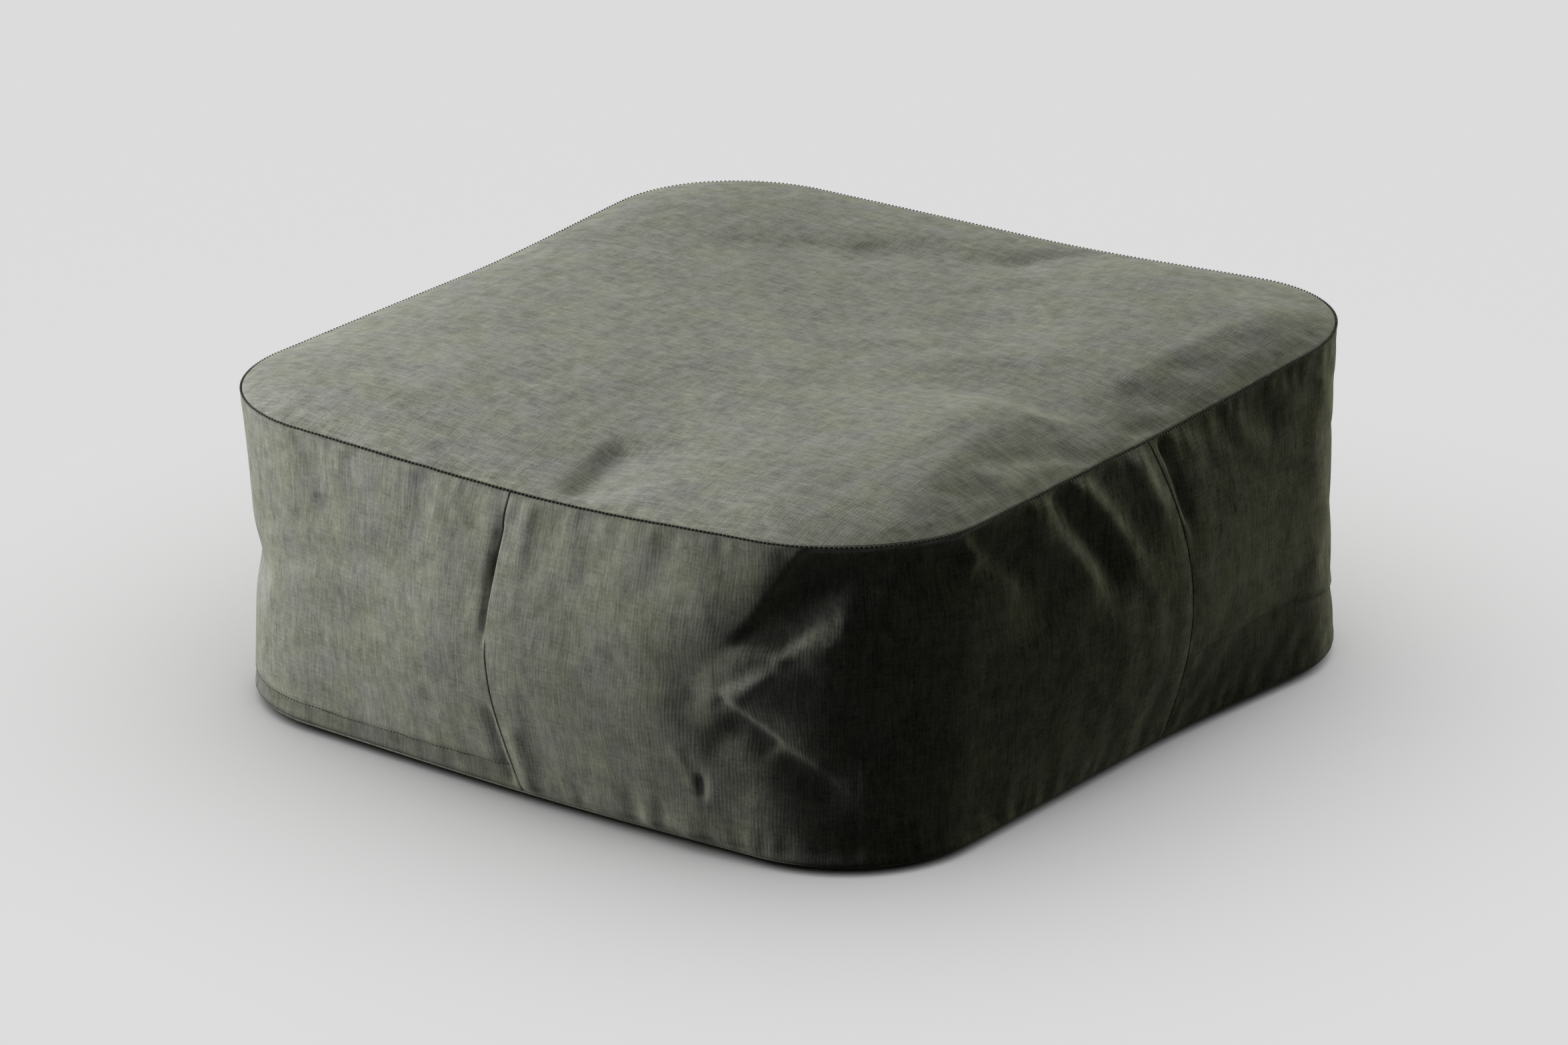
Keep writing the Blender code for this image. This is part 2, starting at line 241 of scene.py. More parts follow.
def plan_at(distance):
    """Points of the square's outline at distances round it, and the outward directions."""
    run = (distance + STRAIGHT / 2) % ROUND
    side = np.floor(run / SIDE_LENGTH)
    run = run - SIDE_LENGTH * side
    bend = np.clip((run - STRAIGHT) / CORNER_RADIUS, 0, math.pi / 2)
    inner = HALF_WIDTH - CORNER_RADIUS
    x = np.minimum(run, STRAIGHT) - inner + CORNER_RADIUS * np.sin(bend)
    y = -inner - CORNER_RADIUS * np.cos(bend)
    c, s = np.cos(side * math.pi / 2), np.sin(side * math.pi / 2)
    point = np.stack((x * c - y * s, x * s + y * c, 0 * x), -1)
    outward = np.stack((np.sin(bend) * c + np.cos(bend) * s,
                        np.sin(bend) * s - np.cos(bend) * c, 0 * x), -1)
    return point, outward


def seam_place(number, level):
    """Distances round the side of an upright seam, counted on from the front one."""
    low, middle, high = UPRIGHT_SEAMS[number.astype(int) % 4].T
    lean = low + (4 * middle - 3 * low - high) * level
    lean = lean + (2 * low + 2 * high - 4 * middle) * level ** 2
    return number * SIDE_LENGTH + lean


def distance_round(turn, level):
    """Distances for turns of 0 to 4, in which each upright seam is a whole number."""
    panel = np.floor(turn)
    start, end = seam_place(panel, level), seam_place(panel + 1, level)
    return start + (end - start) * (turn - panel)


def either_side(distance):
    """Distances counted on either side of the front's middle, up to that of the left side."""
    return (distance + ROUND / 4) % ROUND - ROUND / 4


def line_of_fold(distance, height, start, start_height, end, end_height):
    """How far points lie to the left of a line on the side, and how far past its ends."""
    length = math.hypot(end - start, end_height - start_height)
    away = (distance - start + ROUND / 2) % ROUND - ROUND / 2
    up = height - start_height
    along = (away * (end - start) + up * (end_height - start_height)) / length
    left = (up * (end - start) - away * (end_height - start_height)) / length
    return left, along - np.clip(along, 0, length)


def fold_depth(distance, height):
    """How far the side's broad folds draw in."""
    depth = 0 * distance
    for *line, width, fold in SIDE_FOLDS:
        left, past = line_of_fold(distance, height, *line)
        depth = depth + fold * np.exp(-(left ** 2 + past ** 2) / width ** 2)
    return depth


def side_point(turn, level):
    """Points of the side: swollen between its seams, drawn in at the corners and the folds."""
    distance = distance_round(turn, level)
    point, outward = plan_at(distance)
    height = FOOT_SEAM + (at_station(0, distance) - FOOT_SEAM) * level
    out = at_station(1, distance) * level + at_station(2, distance) * (1 - level)
    out = out + at_station(3, distance) * np.sin(np.pi * level)
    out = out - fold_depth(distance, height) * np.minimum(1, FOLD_HOLD * level * (1 - level))
    point = point + outward * out[..., None]
    point[..., 2] = height
    return point


def creased(distance, height, creases, wider=0.0):
    """How far a table of creases draws the cloth in; each has its own steepness on either side.
    For what lies under the cloth the creases are made wider, and those that stand out left out."""
    depth = 0 * distance
    for *line, left_width, right_width, fade, fold in creases:
        if wider and fold < 0:
            continue
        left, past = line_of_fold(distance, height, *line)
        width = np.where(left > 0, left_width, right_width) + wider
        depth = depth + fold * np.exp(-(left / width) ** 2 - (past / (fade + wider)) ** 2)
    return depth


def shoulder_rise(x, y):
    """How far the top stands up by its right seam, where it falls in uneven lobes to the seam."""
    along, crests, heights = SHOULDER.T
    crest, high = np.interp(y, along, crests), np.interp(y, along, heights)
    fall = np.clip((x - crest) / (SHOULDER_SEAM - crest), 0, 1)
    fall = (1 + SHOULDER_BEND) * fall * fall / (fall + SHOULDER_BEND)
    return high * np.where(x < crest, np.exp(-((crest - x) / SHOULDER_RUN) ** 2), 1 - fall)


def eased(share):
    """A share that starts and ends gently."""
    share = np.clip(share, 0, 1)
    return share * share * (3 - 2 * share)


def corner_hollow(distance, height, wider=0.0):
    """The deep hollow under the front right corner: a sharp lip at its left, a ledge below it."""
    left = line_of_fold(distance, height, *HOLLOW_LIP)[0]
    above = height - np.interp(distance, *HOLLOW_FLOOR)
    ledge = np.interp(distance, *HOLLOW_LEDGE)
    inside = eased((wider - left) / HOLLOW_LIP_WIDTH + 0.5) * eased((above + wider) / ledge + 0.5)
    return np.interp(distance, *HOLLOW_DEPTHS) * inside


def side_creases(distance, height, level, wider=0.0):
    """How far all the side's creases draw it in, none of it at the level seams."""
    depth = creased(distance, height, SIDE_CREASES, wider)
    depth = depth + corner_hollow(either_side(distance), height, wider)
    return depth * np.clip(np.minimum(level, 1 - level) * CREASE_HOLD, 0, 1)


def ring_and_turn(x, y):
    """How far out a point of the square from -1 to 1 lies, and its turn."""
    ring = np.maximum(np.maximum(np.abs(x), np.abs(y)), 1e-6)
    x, y = x / ring, y / ring
    turn = np.where(y < -ON_EDGE, x / 2, np.where(
        x > ON_EDGE, 1 + y / 2, np.where(y > ON_EDGE, 2 - x / 2, 3 - y / 2)))
    return ring + RIM_CROWDING * (np.sin(np.pi / 2 * ring) - ring), turn % 4


def top_point(x, y):
    """Points of the top, for a square from -1 to 1."""
    ring, turn = ring_and_turn(x, y)
    point = side_point(turn, 1.0 + 0 * ring)
    rim = point[..., 2].copy()
    point[..., :2] *= ring[..., None]
    rounding = 1 - ring ** RIM_ROUNDING
    height = TOP_LEVEL + (rim - TOP_LEVEL) * ring ** 2 + CROWN * rounding
    for dent_x, dent_y, along_x, along_y, depth in TOP_DENTS:
        spread = ((point[..., 0] - dent_x) / along_x) ** 2
        spread = spread + ((point[..., 1] - dent_y) / along_y) ** 2
        height = height - depth * np.exp(-spread) * rounding
    point[..., 2] = height
    return point


def foot_point(x, y):
    """Points of the underside: flat on the floor, turned up to its seam."""
    ring, turn = ring_and_turn(x, y)
    point = side_point(turn, 0.0 * ring)
    point[..., :2] *= ring[..., None]
    curl = np.maximum(0, (ring - FLAT_SHARE) / (1 - FLAT_SHARE))
    point[..., 2] = FOOT_SEAM * curl ** 2
    return point


def only(piece):
    """Makes a piece the one selected, active object."""
    bpy.ops.object.select_all(action="DESELECT")
    piece.select_set(True)
    bpy.context.view_layer.objects.active = piece


def outside_out(piece):
    """Turns all of a piece's faces outwards."""
    only(piece)
    bpy.ops.object.mode_set(mode="EDIT")
    bpy.ops.mesh.select_all(action="SELECT")
    bpy.ops.mesh.normals_make_consistent(inside=False)
    bpy.ops.object.mode_set(mode="OBJECT")


def read_points(mesh):
    points = np.empty(len(mesh.vertices) * 3)
    mesh.vertices.foreach_get("co", points)
    return points.reshape(-1, 3)


def write_points(mesh, points):
    mesh.vertices.foreach_set("co", np.ascontiguousarray(points, np.float32).ravel())
    mesh.update()


bpy.ops.object.select_all(action="DESELECT")
bpy.ops.mesh.primitive_cube_add(size=2)
form = bpy.context.object
form.name = form.data.name = "filled_form"
bpy.ops.object.mode_set(mode="EDIT")
for upright, cuts in ((False, FORM_ACROSS - 1), (True, FORM_ROWS - 1)):
    bpy.ops.mesh.select_mode(type="EDGE")
    bpy.ops.mesh.select_all(action="DESELECT")
    skin = bmesh.from_edit_mesh(form.data)
    for edge in skin.edges:
        edge.select_set((abs(edge.verts[0].co.z - edge.verts[1].co.z) > 1) == upright)
    bmesh.update_edit_mesh(form.data)
    bpy.ops.mesh.subdivide(number_cuts=cuts)
bpy.ops.object.mode_set(mode="OBJECT")

# Where each point lies on the cube: on a side, on the top or on the underside
cube = read_points(form.data)
form_ring = np.maximum(np.abs(cube[:, 0]), np.abs(cube[:, 1]))
on_side = form_ring > ON_EDGE
on_top = (cube[:, 2] > ON_EDGE) & ~on_side
on_foot = (cube[:, 2] < -ON_EDGE) & ~on_side
form_level = (cube[:, 2] + 1) / 2
form_turn = ring_and_turn(cube[:, 0], cube[:, 1])[1]
shape = np.where(on_side[:, None], side_point(form_turn, form_level),
                 np.where(on_top[:, None], top_point(cube[:, 0], cube[:, 1]),
                          foot_point(cube[:, 0], cube[:, 1])))
# The form's middle goes over the middle of the CAD model
CENTRE = (Vector(shape.min(0)) + Vector(shape.max(0))) / 2
CENTRE = np.array((CENTRE.x, CENTRE.y, 0)) - np.array((*((cad_box[0] + cad_box[1]) / 2).xy, 0))
shape -= CENTRE
write_points(form.data, shape)

# The cover blows up a little under pressure, with its seams and its underside held
SWELL_STEPS = 20
FREE_HOLD = 0.25            # how strongly the cloth between the seams keeps its place
MOST_MOVE = 0.006
SIDE_SHARE = 0.50           # share of the wrinkles kept, as the canvas is heavy
TOP_SHARE = 0.16
swollen = 0 * shape
seam = (on_side & ((form_level < 1e-4) | (form_level > ON_EDGE))) | on_foot
upright = on_side & (np.abs(form_turn - np.round(form_turn)) < 1e-4)
held = form.vertex_groups.new(name="held")
held.add([int(i) for i in np.nonzero(seam | upright)[0]], 1.0, "REPLACE")
held.add([int(i) for i in np.nonzero(~(seam | upright))[0]], FREE_HOLD, "REPLACE")
only(form)
bpy.ops.object.modifier_add(type="CLOTH")
cloth = form.modifiers[-1]
cloth.settings.quality = 6
cloth.settings.mass = 0.35
cloth.settings.tension_stiffness = cloth.settings.compression_stiffness = 30
cloth.settings.shear_stiffness = 12
cloth.settings.bending_stiffness = 12
cloth.settings.vertex_group_mass = "held"
cloth.settings.pin_stiffness = 1.0
cloth.settings.shrink_min = cloth.settings.shrink_max = -0.004
cloth.settings.use_pressure = True
cloth.settings.uniform_pressure_force = 4
cloth.settings.effector_weights.gravity = 0
cloth.collision_settings.use_collision = False
cloth.collision_settings.use_self_collision = False
cloth.point_cache.frame_end = SWELL_STEPS
for step in range(1, SWELL_STEPS + 1):
    bpy.context.scene.frame_set(step)
bpy.ops.object.modifier_apply(modifier=cloth.name)
swollen = read_points(form.data) - shape
bpy.context.scene.frame_set(1)
reach = np.linalg.norm(swollen, axis=1, keepdims=True)
swollen *= np.minimum(1, MOST_MOVE / np.maximum(reach, 1e-9))
swollen *= np.where(on_top, TOP_SHARE, SIDE_SHARE)[:, None]

# The swelling laid out in rows and columns, to shape the panels by
side_swell = np.zeros((4 * FORM_ACROSS, FORM_ROWS + 1, 3))
at = np.nonzero(on_side)[0]
side_swell[np.round(form_turn[at] * FORM_ACROSS).astype(int) % (4 * FORM_ACROSS),
           np.round(form_level[at] * FORM_ROWS).astype(int)] = swollen[at]
top_swell = np.zeros((FORM_ACROSS + 1, FORM_ACROSS + 1, 3))
at = np.nonzero(cube[:, 2] > ON_EDGE)[0]
top_swell[np.round((cube[at, 0] + 1) / 2 * FORM_ACROSS).astype(int),
          np.round((cube[at, 1] + 1) / 2 * FORM_ACROSS).astype(int)] = swollen[at]


def between(rows, u, v, round_u=False):
    """Values of a table at places between its rows, by a smooth curve through four of them."""
    def shares(f):
        return (-f / 2 + f ** 2 - f ** 3 / 2, 1 - 2.5 * f ** 2 + 1.5 * f ** 3,
                f / 2 + 2 * f ** 2 - 1.5 * f ** 3, -f ** 2 / 2 + f ** 3 / 2)
    low_u, low_v = np.floor(u).astype(int), np.floor(v).astype(int)
    share_u, share_v = shares(u - low_u), shares(v - low_v)
    total = 0
    for i in range(4):
        at_u = low_u + i - 1
        at_u = at_u % len(rows) if round_u else np.clip(at_u, 0, len(rows) - 1)
        for j in range(4):
            at_v = np.clip(low_v + j - 1, 0, rows.shape[1] - 1)
            total = total + rows[at_u, at_v] * (share_u[i] * share_v[j])[..., None]
    return total


# The filling's own skin lies inside the cover, further in along its seams and under its creases
FORM_INSET = 0.0045
SEAM_INSET = 0.004
SEAM_BAND = 0.006           # width of the band along a seam
BAND_HEIGHT = 0.27          # the side's height and the top's half run, by which the band is laid
BAND_RUN = 0.17
CREASE_ROOM = 0.008         # how much wider than in the cloth the creases are
FORM_FOOT = 0.0035          # the form's lowest point
form_distance = distance_round(form_turn, form_level)
drawn = side_creases(form_distance, shape[:, 2], form_level, wider=CREASE_ROOM)
shape -= plan_at(form_distance)[1] * np.where(on_side, drawn, 0)[:, None]
drawn = creased(shape[:, 0], shape[:, 1], TOP_CREASES, wider=CREASE_ROOM)
drawn = drawn - shoulder_rise(shape[:, 0], shape[:, 1])
shape[:, 2] -= np.where(on_top, drawn * np.clip((1 - form_ring) / TOP_HOLD, 0, 1), 0)
write_points(form.data, shape + swollen)
outside_out(form)
normals = np.empty(len(shape) * 3)
form.data.vertex_normals.foreach_get("vector", normals)
normals = normals.reshape(-1, 3)
from_seam = np.where(on_side, np.minimum(form_level, 1 - form_level) * BAND_HEIGHT,
                     (1 - form_ring) * BAND_RUN)
edge_share = np.exp(-(from_seam / SEAM_BAND) ** 2)
inner = shape + swollen - normals * (FORM_INSET + SEAM_INSET * edge_share)[:, None]
inner[:, 2] = np.maximum(inner[:, 2], FORM_FOOT)
write_points(form.data, inner)
form.vertex_groups.clear()
bpy.ops.object.shade_smooth()


def add_node(material, kind, **settings):
    """A material node; settings that name an input go to that input."""
    node = material.node_tree.nodes.new("ShaderNode" + kind)
    for name, value in settings.items():
        key = int(name[2:]) if name.startswith("in") and name[2:].isdigit() else name
        if isinstance(key, int) or key in node.inputs:
            socket = node.inputs[key]
            if isinstance(value, bpy.types.NodeSocket):
                material.node_tree.links.new(value, socket)
            else:
                socket.default_value = value
        else:
            setattr(node, name, value)
    return node


def sum_of(material, operation, first, second):
    return add_node(material, "Math", operation=operation, in0=first, in1=second).outputs[0]


def new_material(name):
    """A material and its shader node."""
    material = bpy.data.materials.new(name)
    material.use_nodes = True
    return material, material.node_tree.nodes["Principled BSDF"]


def noise_of(material, where, scale, detail, roughness=0.5):
    """Noise from 0 to 1 over a vector socket."""
    return add_node(material, "TexNoise", Vector=where, Scale=scale, Detail=detail,
                    Roughness=roughness).outputs["Fac"]


filling, shader = new_material("filling_skin")
place = add_node(filling, "TexCoord").outputs["Object"]
crumbs = add_node(filling, "TexVoronoi", Vector=place, Scale=320.0).outputs["Distance"]
tone = add_node(filling, "ValToRGB", Fac=crumbs)
tone.color_ramp.elements[0].color = (0.27, 0.27, 0.24, 1)
tone.color_ramp.elements[1].color = (0.20, 0.20, 0.18, 1)
bump = add_node(filling, "Bump", Height=crumbs, Strength=0.4, Distance=0.0006)
filling.node_tree.links.new(tone.outputs[0], shader.inputs["Base Color"])
filling.node_tree.links.new(bump.outputs[0], shader.inputs["Normal"])
shader.inputs["Roughness"].default_value = 0.95
form.data.materials.clear()
form.data.materials.append(filling)
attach(form, "root")
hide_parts("filled_body")


# ----------------------------------------------------------
# Side: four panels of heather canvas, each from the middle of one side round a corner to the middle
# of the next. Their edges are turned in and sewn to their neighbours, to the top and to the bottom,
# and two of them have a hem stitched along their foot.
# ----------------------------------------------------------
CLOTH = 0.0013              # thickness of the canvas
CANVAS = (0.236, 0.240, 0.208)
RIBS = 0.0029, 0.0036       # pitch of its ribs, warp and weft
SIDE_PANELS = ("side_panel_front_right", "side_panel_back_right",
               "side_panel_back_left", "side_panel_front_left")
SIDE_COLUMNS = 236          # of one panel, besides the edge rows
SIDE_ROWS = 100
SIDE_HEIGHT = 0.265         # from seam to seam, by which the rows are spaced
EDGE_ROWS = np.array((0.0, 0.0005, 0.001, 0.0015, 0.0021, 0.0028, 0.0036, 0.005, 0.0065, 0.008,
                      0.010))       # distances of the close rows of points along each edge
SEAM_GAP = 0.0003           # between two panels in a seam
ALLOWANCE = 0.0034          # how deep the turned-in edge goes
TURN_IN = 0.0032            # how far from a level seam the cloth starts to turn in
UPRIGHT_TURN_IN = 0.0009    # and from an upright one, which lies flatter
SEAM_STEP = 0.004           # of a turn, by which a seam's directions are taken
LEVEL_STEP = 0.01           # of the side's height, for an upright seam's own direction
INWARD_RING = 0.98          # where the flat panels' directions are taken
# Small gathers along the level seams: their depth, their pitch, how far from the seam they reach,
# and where they start, so that the rows differ. The last is by share of the top, as its rings are.
HEAD_GATHERS = 0.0008, 0.019, 0.018, 0.0
FOOT_GATHERS = 0.0008, 0.024, 0.028, 0.3
TOP_GATHERS = 0.0005, 0.021, 0.05, 0.1
GATHER_HOLD = 30            # how fast the side's grow away from the seam
HEMS = {
    # of two of the panels: distances along the side, and heights, of the hem's line of stitches
    3: ((-0.600, -0.300, -0.174, -0.004), (0.024, 0.024, 0.025, 0.031)),
    1: ((0.700, 0.768, 0.850, 0.969, 1.100, 1.270), (0.080, 0.080, 0.078, 0.053, 0.045, 0.045)),
}
HEM_STEP = 0.0016           # how far the cloth dips at the stitches
HEM_BELOW, HEM_ABOVE = 0.016, 0.0012    # and how far down and up that dip goes
HEM_END = 0.012             # how far from its ends a hem fades out
HEM_PITCH = 0.0036          # from stitch to stitch
STITCH_LENGTH = 0.0026
STITCH_THICKNESS = 0.0010
STITCH_TAPER = 0.35         # how much thinner its ends are
STITCH_CREST, STITCH_DIP = 0.35, 0.9    # of its thickness: its middle's rise, its ends' fall


def crowded(count, edges):
    """Places from 0 to 1, evenly apart but for the rows given near both ends."""
    middle = np.linspace(edges[-1], 1 - edges[-1], count)[1:-1]
    return np.concatenate((edges, middle, 1 - edges[::-1]))


def gathers(distance, away, kind):
    """How far uneven little waves along a seam draw the cloth in, at distances away from it."""
    depth, pitch, reach, start = kind
    turn = 2 * np.pi * (distance + start) / pitch
    large = np.sin(turn + 1.3 * np.sin(turn / 3.7))
    small = 0.6 * np.sin(turn / 1.63 + 2.1 * np.sin(turn / 5.3))
    return depth * (large + small) / 1.6 * np.exp(-(away / reach) ** 2)


def unit(vectors):
    """Directions of length 1."""
    return vectors / np.maximum(np.linalg.norm(vectors, axis=-1, keepdims=True), 1e-9)


def turned_in(points, seam, into, inwards, turn_in=TURN_IN):
    """How far points near a seam move as the cloth's edge turns in between the two panels."""
    away = np.linalg.norm(points - seam, axis=-1, keepdims=True)
    share = np.clip(1 - away / turn_in, 0, 1)
    beside = unit(into - (into * inwards).sum(-1, keepdims=True) * inwards)
    start = seam + into * turn_in
    end = seam + inwards * ALLOWANCE + beside * SEAM_GAP / 2
    bent = (1 - share) ** 2 * start + 2 * share * (1 - share) * seam + share ** 2 * end
    straight = seam + into * np.minimum(away, turn_in)
    return np.where(share > 0, bent - straight, 0)


def cloth_grid(name, columns, rows):
    """A flat grid piece, and the column and row of each of its points."""
    bpy.ops.object.select_all(action="DESELECT")
    bpy.ops.mesh.primitive_grid_add(x_subdivisions=columns - 1, y_subdivisions=rows - 1, size=1)
    piece = bpy.context.object
    piece.name = piece.data.name = name
    flat = read_points(piece.data)
    column = np.round((flat[:, 0] + 0.5) * (columns - 1)).astype(int)
    row = np.round((flat[:, 1] + 0.5) * (rows - 1)).astype(int)
    return piece, column, row


def lay_pattern(piece, u, v):
    """The piece's UV map, in metres of cloth."""
    mesh = piece.data
    corners = np.empty(len(mesh.loops), np.int32)
    mesh.loops.foreach_get("vertex_index", corners)
    places = np.stack((u, v), -1)[corners].astype(np.float32)
    mesh.uv_layers[0].name = "cloth"
    mesh.uv_layers[0].data.foreach_set("uv", places.ravel())


def mark_cloth(piece, shade, mottle):
    """How much painted shade darkens the cloth at each point, from 0 to 1, and how strongly it is
    mottled.
    """
    for name, values in (("shade", np.clip(shade, 0, 1)), ("mottle", mottle)):
        layer = piece.data.attributes.new(name, "FLOAT", "POINT")
        layer.data.foreach_set("value", values.astype(np.float32))


def thicken(piece, material):
    """Gives the cloth its thickness, inwards, and its material."""
    only(piece)
    bpy.ops.object.modifier_add(type="SOLIDIFY")
    wall = piece.modifiers[-1]
    wall.thickness = CLOTH
    wall.offset = -1
    bpy.ops.object.modifier_apply(modifier=wall.name)
    bpy.ops.object.shade_smooth()
    piece.data.materials.clear()
    piece.data.materials.append(material)


def hem_height(distance):
    """Height of the hem's line of stitches, and where there is one."""
    distance = either_side(distance)
    height, there = 0 * distance, 0 * distance
    for along, heights in HEMS.values():
        near = (distance > along[0]) & (distance < along[-1])
        height = np.where(near, np.interp(distance, along, heights), height)
        ends = np.minimum(distance - along[0], along[-1] - distance)
        there = np.where(near, np.clip(ends / HEM_END, 0, 1), there)
    return height, there


def side_cloth(turn, level):
    """Points of the side's cloth, creases and all, before its edges are turned in."""
    distance = distance_round(turn, level)
    swelling = between(side_swell, turn * FORM_ACROSS, level * FORM_ROWS, round_u=True)
    point = side_point(turn, level) - CENTRE + swelling
    height = point[..., 2]
    depth = side_creases(distance, height, level)
    # The hem's fold, below its line of stitches
    hem, on_panel = hem_height(distance)
    below = hem - height
    hollow = HEM_STEP * on_panel * np.exp(-(below / np.where(below > 0, HEM_BELOW, HEM_ABOVE)) ** 2)
    hollow = hollow + gathers(distance, at_station(0, distance) - height, HEAD_GATHERS)
    hollow = hollow + gathers(distance, height, FOOT_GATHERS)
    depth = depth + hollow * np.clip(np.minimum(level, 1 - level) * GATHER_HOLD, 0, 1)
    return point - plan_at(distance)[1] * depth[..., None]


def top_cloth(x, y):
    """Points of the top's cloth before its edges are turned in."""
    point = top_point(x, y) - CENTRE + between(
        top_swell, (x + 1) / 2 * FORM_ACROSS, (y + 1) / 2 * FORM_ACROSS)
    ring, turn = ring_and_turn(x, y)
    depth = creased(point[..., 0], point[..., 1], TOP_CREASES)
    depth = depth - shoulder_rise(point[..., 0], point[..., 1])
    depth = depth + gathers(turn * SIDE_LENGTH, 1 - ring, TOP_GATHERS)
    point[..., 2] -= depth * np.clip((1 - ring) / TOP_HOLD, 0, 1)
    return point


def outline(turn):
    """The point of the square from -1 to 1 at a turn."""
    turn = turn % 4
    corners = (0, 0.5, 1.5, 2.5, 3.5, 4)
    return (np.interp(turn, corners, (0, 1, 1, -1, -1, 0)),
            np.interp(turn, corners, (-1, -1, 1, 1, -1, -1)))


def level_seam(turn, level):
    """A level seam: its points, the directions into the side and the flat panel, and inwards."""
    seam = side_cloth(turn, level + 0 * turn)
    step = 3 * SEAM_STEP if level < 0.5 else -3 * SEAM_STEP
    into_side = unit(side_cloth(turn, level + 0 * turn + step) - seam)
    x, y = outline(turn)
    x, y = x * INWARD_RING, y * INWARD_RING
    into_flat = unit((foot_point(x, y) - CENTRE if level < 0.5 else top_cloth(x, y)) - seam)
    return seam, into_side, into_flat, unit(into_side + into_flat)


def upright_seam(number, level, side):
    """An upright seam: its points, the direction into the panel on that side of it, and inwards."""
    turn = number + 0 * level
    seam = side_cloth(turn, level)
    into = unit(side_cloth(turn + side * SEAM_STEP, level) - seam)
    back = unit(side_cloth(turn - side * SEAM_STEP, level) - seam)
    above = side_cloth(turn, np.minimum(level + LEVEL_STEP, 1))
    upright = unit(above - side_cloth(turn, np.maximum(level - LEVEL_STEP, 0)))
    inwards = unit(np.cross(upright, unit(into - back)) * side)
    return seam, into, inwards


def canvas_material(name, colour, pitch, show, slub):
    """Heather canvas: fine ribs each way, slubs along the threads, and soft clouds of colour. The
    ribs' pitch and how much they and the slubs show are given for the warp and for the weft."""
    material, shader = new_material(name)

    def vector_of(operation, vector, **other):
        return add_node(material, "VectorMath", operation=operation, in0=vector, **other).outputs[0]

    cloth_place = add_node(material, "UVMap", uv_map="cloth").outputs[0]
    drift = add_node(material, "TexNoise", Vector=cloth_place, Scale=9.0, Detail=2.0)
    drift = vector_of("SUBTRACT", drift.outputs["Color"], in1=(0.5, 0.5, 0.5))
    drift = vector_of("SCALE", drift, Scale=0.012)
    wandering = vector_of("ADD", cloth_place, in1=drift)
    parts = add_node(material, "SeparateXYZ", Vector=wandering)

    def ribs(way, pitch):
        turn = sum_of(material, "MULTIPLY", parts.outputs[way], 2 * math.pi / pitch)
        return sum_of(material, "SINE", turn, 0.0)

    def threads(across, along):
        stretched = add_node(material, "Mapping", Vector=wandering, Scale=(across, along, 1.0))
        return noise_of(material, stretched.outputs[0], 1.0, 2.0)

    def shaded(base, socket, amount, middle=0.0):
        off = sum_of(material, "SUBTRACT", socket, middle)
        return sum_of(material, "ADD", base, sum_of(material, "MULTIPLY", off, amount))

    fine = ribs(0, pitch[0]), ribs(1, pitch[1])
    heavy = ribs(0, 3 * pitch[0]), ribs(1, 3 * pitch[1])
    slubs = threads(430.0, 60.0), threads(70.0, 430.0)
    broad = threads(150.0, 18.0), threads(20.0, 150.0)
    clouds = noise_of(material, cloth_place, 13.0, 3.0, 0.55)
    blotches = noise_of(material, cloth_place, 75.0, 4.0, 0.6)
    flecks = noise_of(material, cloth_place, 430.0, 2.0, 0.7)

    tone = 1.0
    for way, broad_share in ((0, 0.50), (1, 0.40)):
        tone = shaded(tone, fine[way], show[way])
        tone = shaded(tone, heavy[way], 0.5 * show[way])
        tone = shaded(tone, slubs[way], 0.85 * slub[way], 0.5)
        tone = shaded(tone, broad[way], broad_share * slub[way], 0.5)
    for noise, amount in ((clouds, 0.60), (blotches, 0.95), (flecks, 0.75)):
        tone = shaded(tone, noise, amount, 0.5)
    mottle = add_node(material, "Attribute", attribute_name="mottle").outputs["Fac"]
    tone = shaded(1.0, tone, mottle, 1.0)
    # Painted shade: the shade attribute darkens the colour in the seams' grooves, the front seam's
    # gap and below the hems
    shade = add_node(material, "Attribute", attribute_name="shade").outputs["Fac"]
    tone = sum_of(material, "MULTIPLY", tone, shaded(1.0, shade, -1.0))
    hue = noise_of(material, cloth_place, 24.0, 4.0, 0.6)
    tint = add_node(material, "ValToRGB", Fac=hue)
    ramp = tint.color_ramp
    ramp.elements[0].position, ramp.elements[1].position = 0.35, 0.65
    ramp.elements[0].color = (colour[0] * 0.985, colour[1] * 0.99, colour[2] * 1.04, 1)
    ramp.elements[1].color = (colour[0] * 1.00, colour[1] * 1.01, colour[2] * 0.91, 1)
    tinted = vector_of("SCALE", tint.outputs[0], Scale=tone)
    material.node_tree.links.new(tinted, shader.inputs["Base Color"])
    height = shaded(shaded(0.5, fine[0], 0.10), fine[1], 0.10)
    for noise, amount in ((slubs[0], 0.7), (slubs[1], 0.6), (flecks, 0.5)):
        height = shaded(height, noise, amount, 0.5)
    bump = add_node(material, "Bump", Height=height, Strength=0.5, Distance=0.0004)
    material.node_tree.links.new(bump.outputs[0], shader.inputs["Normal"])
    shader.inputs["Roughness"].default_value = 0.93
    shader.inputs["Specular IOR Level"].default_value = 0.25
    shader.inputs["Sheen Weight"].default_value = 0.06
    shader.inputs["Sheen Roughness"].default_value = 0.6
    return material


